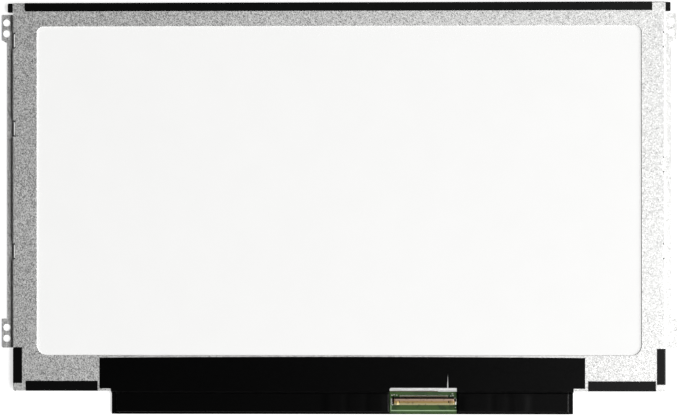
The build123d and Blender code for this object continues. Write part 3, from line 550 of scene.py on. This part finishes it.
boardMiddle = (boardBox[0].x + boardBox[1].x) / 2 / mm
lowerLeft, lowerRight = tapeBox[0].x / mm + cover["wing"], tapeBox[1].x / mm - cover["wing"]
tapeTop, tapeBottom = tapeBox[1].y / mm, tapeBox[0].y / mm
bodyBottom = steelBox[0].y / mm
connectorX = (housingBox[0].x + housingBox[1].x) / 2 / mm
cutX = connectorX + cover["cutShift"]
stepY = bodyBottom + cover["stepRise"]
cutHalf = (housingBox[1].x - housingBox[0].x) / 2 / mm + cover["cutPlay"]
cutTop = bodyBottom + cover["cutRise"]
cutEnd = cover["cutTopHeight"] / 2
highPlaces = []  # parts that hold the tape up: box in mm
for name in ("timing_controller", "supply_chip", "light_driver_chip", "tail_socket"):
    low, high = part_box(name)
    highPlaces.append((low.x / mm, low.y / mm, high.x / mm, high.y / mm))
coilLow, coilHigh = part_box("coils")
coilSize = coilHigh.y - coilLow.y
for left in (coilLow.x, coilHigh.x - coilSize):
    highPlaces.append((left / mm, coilLow.y / mm, (left + coilSize) / mm, coilHigh.y / mm))


def coverHeight(x, y):
    # height of the tape's outer face over a place, all in millimetres
    held = 0.0
    for left, bottom, right, top in highPlaces:
        away = math.hypot(max(left - x, 0, x - right), max(bottom - y, 0, y - top))
        held = max(held, 1 - smooth((away - cover["heldRim"]) / cover["reach"]))
    shelf = cover["shelf"] - cover["sag"] * (1 - held)
    rims = [(y - tapeBottom, cover["lipBottom"]), (x - lowerLeft, cover["lipSide"]),
            (lowerRight - x, cover["lipSide"]), (abs(x - cutX) - cutHalf, cover["lipCut"])]
    rise = min(smooth((away - lip) / cover["lipSlope"]) for away, lip in rims)
    lip = boardBox[1].z / mm + cover["thickness"]
    low = lip + (shelf - lip) * rise
    step = smooth((y - bodyBottom + cover["slope"]) / cover["slope"])
    return low + (tapeBox[1].z / mm - low) * step


coverShape = bmesh.new()
rowEdges = [cover["rows"][0][0]]
for start, end, count in cover["rows"]:
    rowEdges += [start + (end - start) * (i + 1) / count for i in range(count)]
wingLeft, wingRight = tapeBox[0].x / mm, tapeBox[1].x / mm
# columns lie closer where the film steps down at its rims
columnEdges = [wingLeft]
for end, step in (
    (lowerLeft, cover["wideStep"]), (lowerLeft + cover["rimZone"], cover["fineStep"]),
    (cutX - cutHalf - cover["cutZone"], cover["wideStep"]), (cutX - cutHalf, cover["fineStep"]),
    (cutX + cutHalf, cover["wideStep"]), (cutX + cutHalf + cover["cutZone"], cover["fineStep"]),
    (lowerRight - cover["rimZone"], cover["wideStep"]), (lowerRight, cover["fineStep"]),
    (wingRight, cover["wideStep"]),
):
    start = columnEdges[-1]
    count = math.ceil((end - start) / step)
    columnEdges += [start + (end - start) * (i + 1) / count for i in range(count)]
bmesh.ops.create_grid(coverShape, x_segments=len(columnEdges) - 1, y_segments=len(rowEdges) - 1, size=1)
for vert in coverShape.verts:
    column = round((vert.co.x + 1) / 2 * (len(columnEdges) - 1))
    row = round((1 - vert.co.y) / 2 * (len(rowEdges) - 1))
    vert.co.x = columnEdges[column] * mm
    vert.co.y = rowEdges[row] * mm
bowHalf = (wingRight - wingLeft) / 2
bowed = []
for i in range(cover["bowSteps"] + 1):
    x = wingLeft + (wingRight - wingLeft) * i / cover["bowSteps"]
    bowed.append((x, tapeTop - cover["bow"] * ((x - boardMiddle) / bowHalf) ** 2))
corner = cover["corner"]
outer = bowed + [
    (wingRight, stepY), (lowerRight, stepY),
    *arcPoints((lowerRight - corner, tapeBottom + corner), corner, 0, -90, 4),
    *arcPoints((lowerLeft + corner, tapeBottom + corner), corner, -90, -180, 4),
    (lowerLeft, stepY), (wingLeft, stepY),
]
slotHalf = cutHalf + cover["cutTopPlay"] - cutEnd
slotY = cutTop - cutEnd
neckY = slotY - cutEnd * cover["cutNeck"]
cutFoot = tapeBottom - cover["cutOver"]
slitX = connectorX + cover["slitOffset"]
inner = [
    (cutX - cutHalf, cutFoot), (cutX - cutHalf, neckY),
    *arcPoints((cutX - slotHalf, slotY), cutEnd, 235, 90, 8),
    (slitX - cover["slitWidth"] / 2, cutTop), (slitX, cutTop + cover["slitLength"]),
    (slitX + cover["slitWidth"] / 2, cutTop),
    *arcPoints((cutX + slotHalf, slotY), cutEnd, 90, -55, 8),
    (cutX + cutHalf, neckY), (cutX + cutHalf, cutFoot),
]
cutOutline(coverShape, [(x * mm, y * mm) for x, y in outer], True)
cutOutline(coverShape, [(x * mm, y * mm) for x, y in inner], False)
for vert in coverShape.verts:
    vert.co.z = coverHeight(vert.co.x / mm, vert.co.y / mm) * mm
bmesh.ops.recalc_face_normals(coverShape, faces=coverShape.faces[:])
if sum(face.normal.z for face in coverShape.faces) < 0:
    bmesh.ops.reverse_faces(coverShape, faces=coverShape.faces[:])
for face in coverShape.faces:
    face.smooth = True
for edge in coverShape.edges:
    if edge.is_boundary:
        edge.smooth = False
coverPiece = addPiece("drapedCoverTape", coverShape, coverFilm, ("board_cover_tape",))
film = coverPiece.modifiers.new("film", "SOLIDIFY")
film.thickness = cover["thickness"] * mm
film.offset = -1
print("cover tape draped")

# Pads, solder and tracks round the connector
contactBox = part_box("connector_contacts")
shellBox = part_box("connector_shell")
boardTop = boardBox[1].z / mm
pads = {
    "count": 40, "pitch": 0.5, "width": 0.3, "length": 0.85, "height": 0.02, "toe": 0.06,
    "blob": (0.19, 0.32, 0.13), "blobBack": 0.25, "trackWidth": 0.14,
    "edgeGap": 0.05, "shellPad": (1.4, 2.3), "footInset": 0.2, "rimInset": 1.5,
    "lines": [(21.5, 120.0, -83.2, 0.46), (21.5, 21.78, -82.0, 2.4)],
    "thinLines": [(-90.0, 120.0, -84.0, 0.16), (27.0, 46.0, -76.3, 0.22)],
}
# solder lumps at the shell's feet and the housing's corners: place in x and y, then half sizes
lumps = [
    (21.78, -78.5, 0.3, 0.35, 0.2), (21.95, -79.8, 0.34, 0.4, 0.22), (22.25, -80.75, 0.36, 0.3, 0.2),
    (48.0, -80.1, 0.42, 0.72, 0.3), (47.85, -78.15, 0.3, 0.36, 0.2), (47.1, -77.0, 0.42, 0.22, 0.16),
    (46.9, -76.3, 0.45, 0.2, 0.14), (46.2, -77.1, 0.2, 0.28, 0.16), (22.0, -76.9, 0.3, 0.3, 0.16),
    (22.9, -76.7, 0.4, 0.2, 0.14), (24.0, -76.85, 0.35, 0.22, 0.14), (48.1, -81.9, 0.2, 0.25, 0.12),
]


def addLump(shape, middle, halves, around=8, rings=5):
    verts = bmesh.ops.create_uvsphere(shape, u_segments=around, v_segments=rings, radius=1)["verts"]
    place = Matrix.Translation(Vector(middle) * mm) @ Matrix.Diagonal((*(Vector(halves) * mm), 1))
    bmesh.ops.transform(shape, verts=verts, matrix=place)


feetTop = contactBox[1].y / mm
firstContact = connectorX - (pads["count"] - 1) * pads["pitch"] / 2
padShape, blobShape, trackShape, guardShape = (bmesh.new() for i in range(4))
padTop = feetTop + pads["toe"]
trackTop = boardBox[1].y / mm - pads["edgeGap"]
layer = boardTop + pads["height"] / 2
for i in range(pads["count"]):
    x = firstContact + i * pads["pitch"]
    addBlock(padShape, (x, padTop - pads["length"] / 2, layer), (pads["width"], pads["length"], pads["height"]))
    addBlock(trackShape, (x, (trackTop + padTop) / 2, layer),
             (pads["trackWidth"], trackTop - padTop, pads["height"]))
    addLump(blobShape, (x, feetTop - pads["blobBack"], boardTop + pads["height"]), pads["blob"])
for side in (-1, 1):
    footX = connectorX + side * ((shellBox[1].x - shellBox[0].x) / 2 / mm - pads["footInset"])
    footY = (shellBox[0].y + shellBox[1].y) / 2 / mm
    addBlock(padShape, (footX, footY, layer), (*pads["shellPad"], pads["height"]))
for x, y, wide, deep, tall in lumps:
    addLump(blobShape, (x, y, boardTop), (wide, deep, tall), around=16, rings=8)
boardLeft, boardRight = boardBox[0].x / mm + pads["rimInset"], boardBox[1].x / mm - pads["rimInset"]
for shape, lines in ((guardShape, pads["lines"]), (trackShape, pads["thinLines"])):
    for left, right, y, width in lines:
        left, right = max(left, boardLeft), min(right, boardRight)
        addBlock(shape, ((left + right) / 2, y, layer), (right - left, width, pads["height"]))
for face in blobShape.faces:
    face.smooth = True
addPiece("contactPads", padShape, solder)
addPiece("solderFillets", blobShape, solder)
addPiece("maskedTracks", trackShape, trackFinishes["maskedCopperTrack"])
addPiece("guardLines", guardShape, trackFinishes["thinMaskGuard"])

# Ears of the housing beside the shell's ends: low dark blocks that also paint the shade in the gaps there, left
# edge, right edge, front, rear and height
shadeEars = [(22.3, 22.84, -80.6, -77.2, 0.5), (47.56, 48.4, -79.3, -78.2, 0.62)]
earEdge = 0.06
shadeEarShape = bmesh.new()
for left, right, front, rear, tall in shadeEars:
    addBlock(shadeEarShape, ((left + right) / 2, (front + rear) / 2, boardTop + tall / 2),
             (right - left, rear - front, tall))
roundEdges(shadeEarShape, earEdge)
addPiece("housingEarsPaintedShade", shadeEarShape, resin)

# Shell details: a doubled front lip, a stamped pip, and the latch tongue that stands up at the left window
stamping = {"lipDepth": 0.85, "lipRise": 0.05, "lipGap": 0.04, "lipEdge": 0.02, "tongueEdge": 0.03,
            "inset": 1.02, "pip": (35.5, -78.7, 0.42, 0.3, 0.09),
            "tongue": (24.45, -80.0), "tongueSize": (0.95, 1.5, 0.1), "tongueTilt": 9.0}
shellTop = shellBox[1].z / mm
shellLeft, shellRight = shellBox[0].x / mm + stamping["inset"], shellBox[1].x / mm - stamping["inset"]
lipShape = bmesh.new()
lipY = shellBox[0].y / mm + stamping["lipGap"] + stamping["lipDepth"] / 2
addBlock(lipShape, ((shellLeft + shellRight) / 2, lipY, shellTop + stamping["lipRise"] / 2),
         (shellRight - shellLeft, stamping["lipDepth"], stamping["lipRise"]))
roundEdges(lipShape, stamping["lipEdge"])
pipX, pipY, pipWide, pipDeep, pipTall = stamping["pip"]
addLump(lipShape, (pipX, pipY, shellTop), (pipWide, pipDeep, pipTall), around=20, rings=10)
tongueShape = bmesh.new()
addBlock(tongueShape, (0, 0, 0), stamping["tongueSize"])
roundEdges(tongueShape, stamping["tongueEdge"])
bmesh.ops.rotate(tongueShape, verts=tongueShape.verts[:], matrix=Matrix.Rotation(
    math.radians(stamping["tongueTilt"]), 3, "Y"))
bmesh.ops.translate(tongueShape, verts=tongueShape.verts[:], vec=Vector(
    (*stamping["tongue"], shellTop + stamping["tongueSize"][2])) * mm)
addPiece("shellLip", lipShape, shellGold)
addPiece("latchTongue", tongueShape, shellGold)
print("connector soldered and stamped")

# Floor, lamps and world: a pale floor, a long soft box high on the right and a low fill beyond it, so that
# the body's wall shades the left flange
studio = {
    "floorSize": 24.0, "floorTone": "#bcbcbc", "floorGlow": 0.7, "worldTone": "#ffffff", "worldLevel": 0.03,
    "keyPlace": (5.5, -3.2, 7.5), "keySize": (4.0, 11.52), "keyLevel": 9.84,
    "fillPlace": (11.2, -1.2, 3.2), "fillSize": (10.0, 2.8), "fillLevel": 10.52,
}
floorShape = bmesh.new()
bmesh.ops.create_grid(floorShape, x_segments=1, y_segments=1, size=studio["floorSize"] / 2)
floorMesh = bpy.data.meshes.new("studioFloor")
floorShape.to_mesh(floorMesh)
floorShape.free()
floor = bpy.data.objects.new("studioFloor", floorMesh)
scene.collection.objects.link(floor)
floorPaint, shader = startMaterial("paleFloorPaint", Roughness=0.9)
shader.inputs["Base Color"].default_value = linear(studio["floorTone"])
shader.inputs["Specular IOR Level"].default_value = 0.0
shader.inputs["Emission Color"].default_value = (1, 1, 1, 1)
rays = addNode(floorPaint, "ShaderNodeLightPath")
direct = addNode(floorPaint, "ShaderNodeMath",
                 links={0: rays.outputs["Is Camera Ray"], 1: rays.outputs["Is Glossy Ray"]},
                 operation="MAXIMUM")
seen = addNode(floorPaint, "ShaderNodeMath",
               links={0: direct.outputs[0], 1: rays.outputs["Is Transmission Ray"]}, operation="MAXIMUM")
glowLevel = addNode(floorPaint, "ShaderNodeMath", {1: studio["floorGlow"]}, {0: seen.outputs[0]},
                    operation="MULTIPLY")
feed(floorPaint, shader, Emission_Strength=glowLevel.outputs[0])
floorMesh.materials.append(floorPaint)

world = bpy.data.worlds.new("softRoom")
world.use_nodes = True
backdrop = world.node_tree.nodes["Background"]
backdrop.inputs["Color"].default_value = linear(studio["worldTone"])
backdrop.inputs["Strength"].default_value = studio["worldLevel"]
scene.world = world


def addSoftBox(name, place, size, level, target=None):
    # a rectangular lamp of an even radiance, facing down or at a point
    lamp = bpy.data.lights.new(name, "AREA")
    lamp.shape = "RECTANGLE"
    lamp.size, lamp.size_y = size
    lamp.energy = level * math.pi * size[0] * size[1]
    box = bpy.data.objects.new(name, lamp)
    box.location = place
    if target is not None:
        box.rotation_euler = (Vector(target) - Vector(place)).to_track_quat("-Z", "Y").to_euler()
    scene.collection.objects.link(box)


addSoftBox("keyBox", studio["keyPlace"], studio["keySize"], studio["keyLevel"])
addSoftBox("lowFillBox", studio["fillPlace"], studio["fillSize"], studio["fillLevel"], (0, 0, 0))

# Camera square above the back, as the photograph was taken
view = {"lens": 90.0, "sensor": 36.0, "place": (11.893, -1.02, 700.198), "turn": (0.0799, 0.9335, -0.0322)}
cameraData = bpy.data.cameras.new("copyStand")
cameraData.lens = view["lens"]
cameraData.sensor_width = view["sensor"]
cameraData.dof.use_dof = False
camera = bpy.data.objects.new("copyStand", cameraData)
camera.location = Vector(view["place"]) * mm
camera.rotation_euler = [math.radians(a) for a in view["turn"]]
scene.collection.objects.link(camera)
scene.camera = camera
scene.view_settings.view_transform = "Standard"
print("studio set")
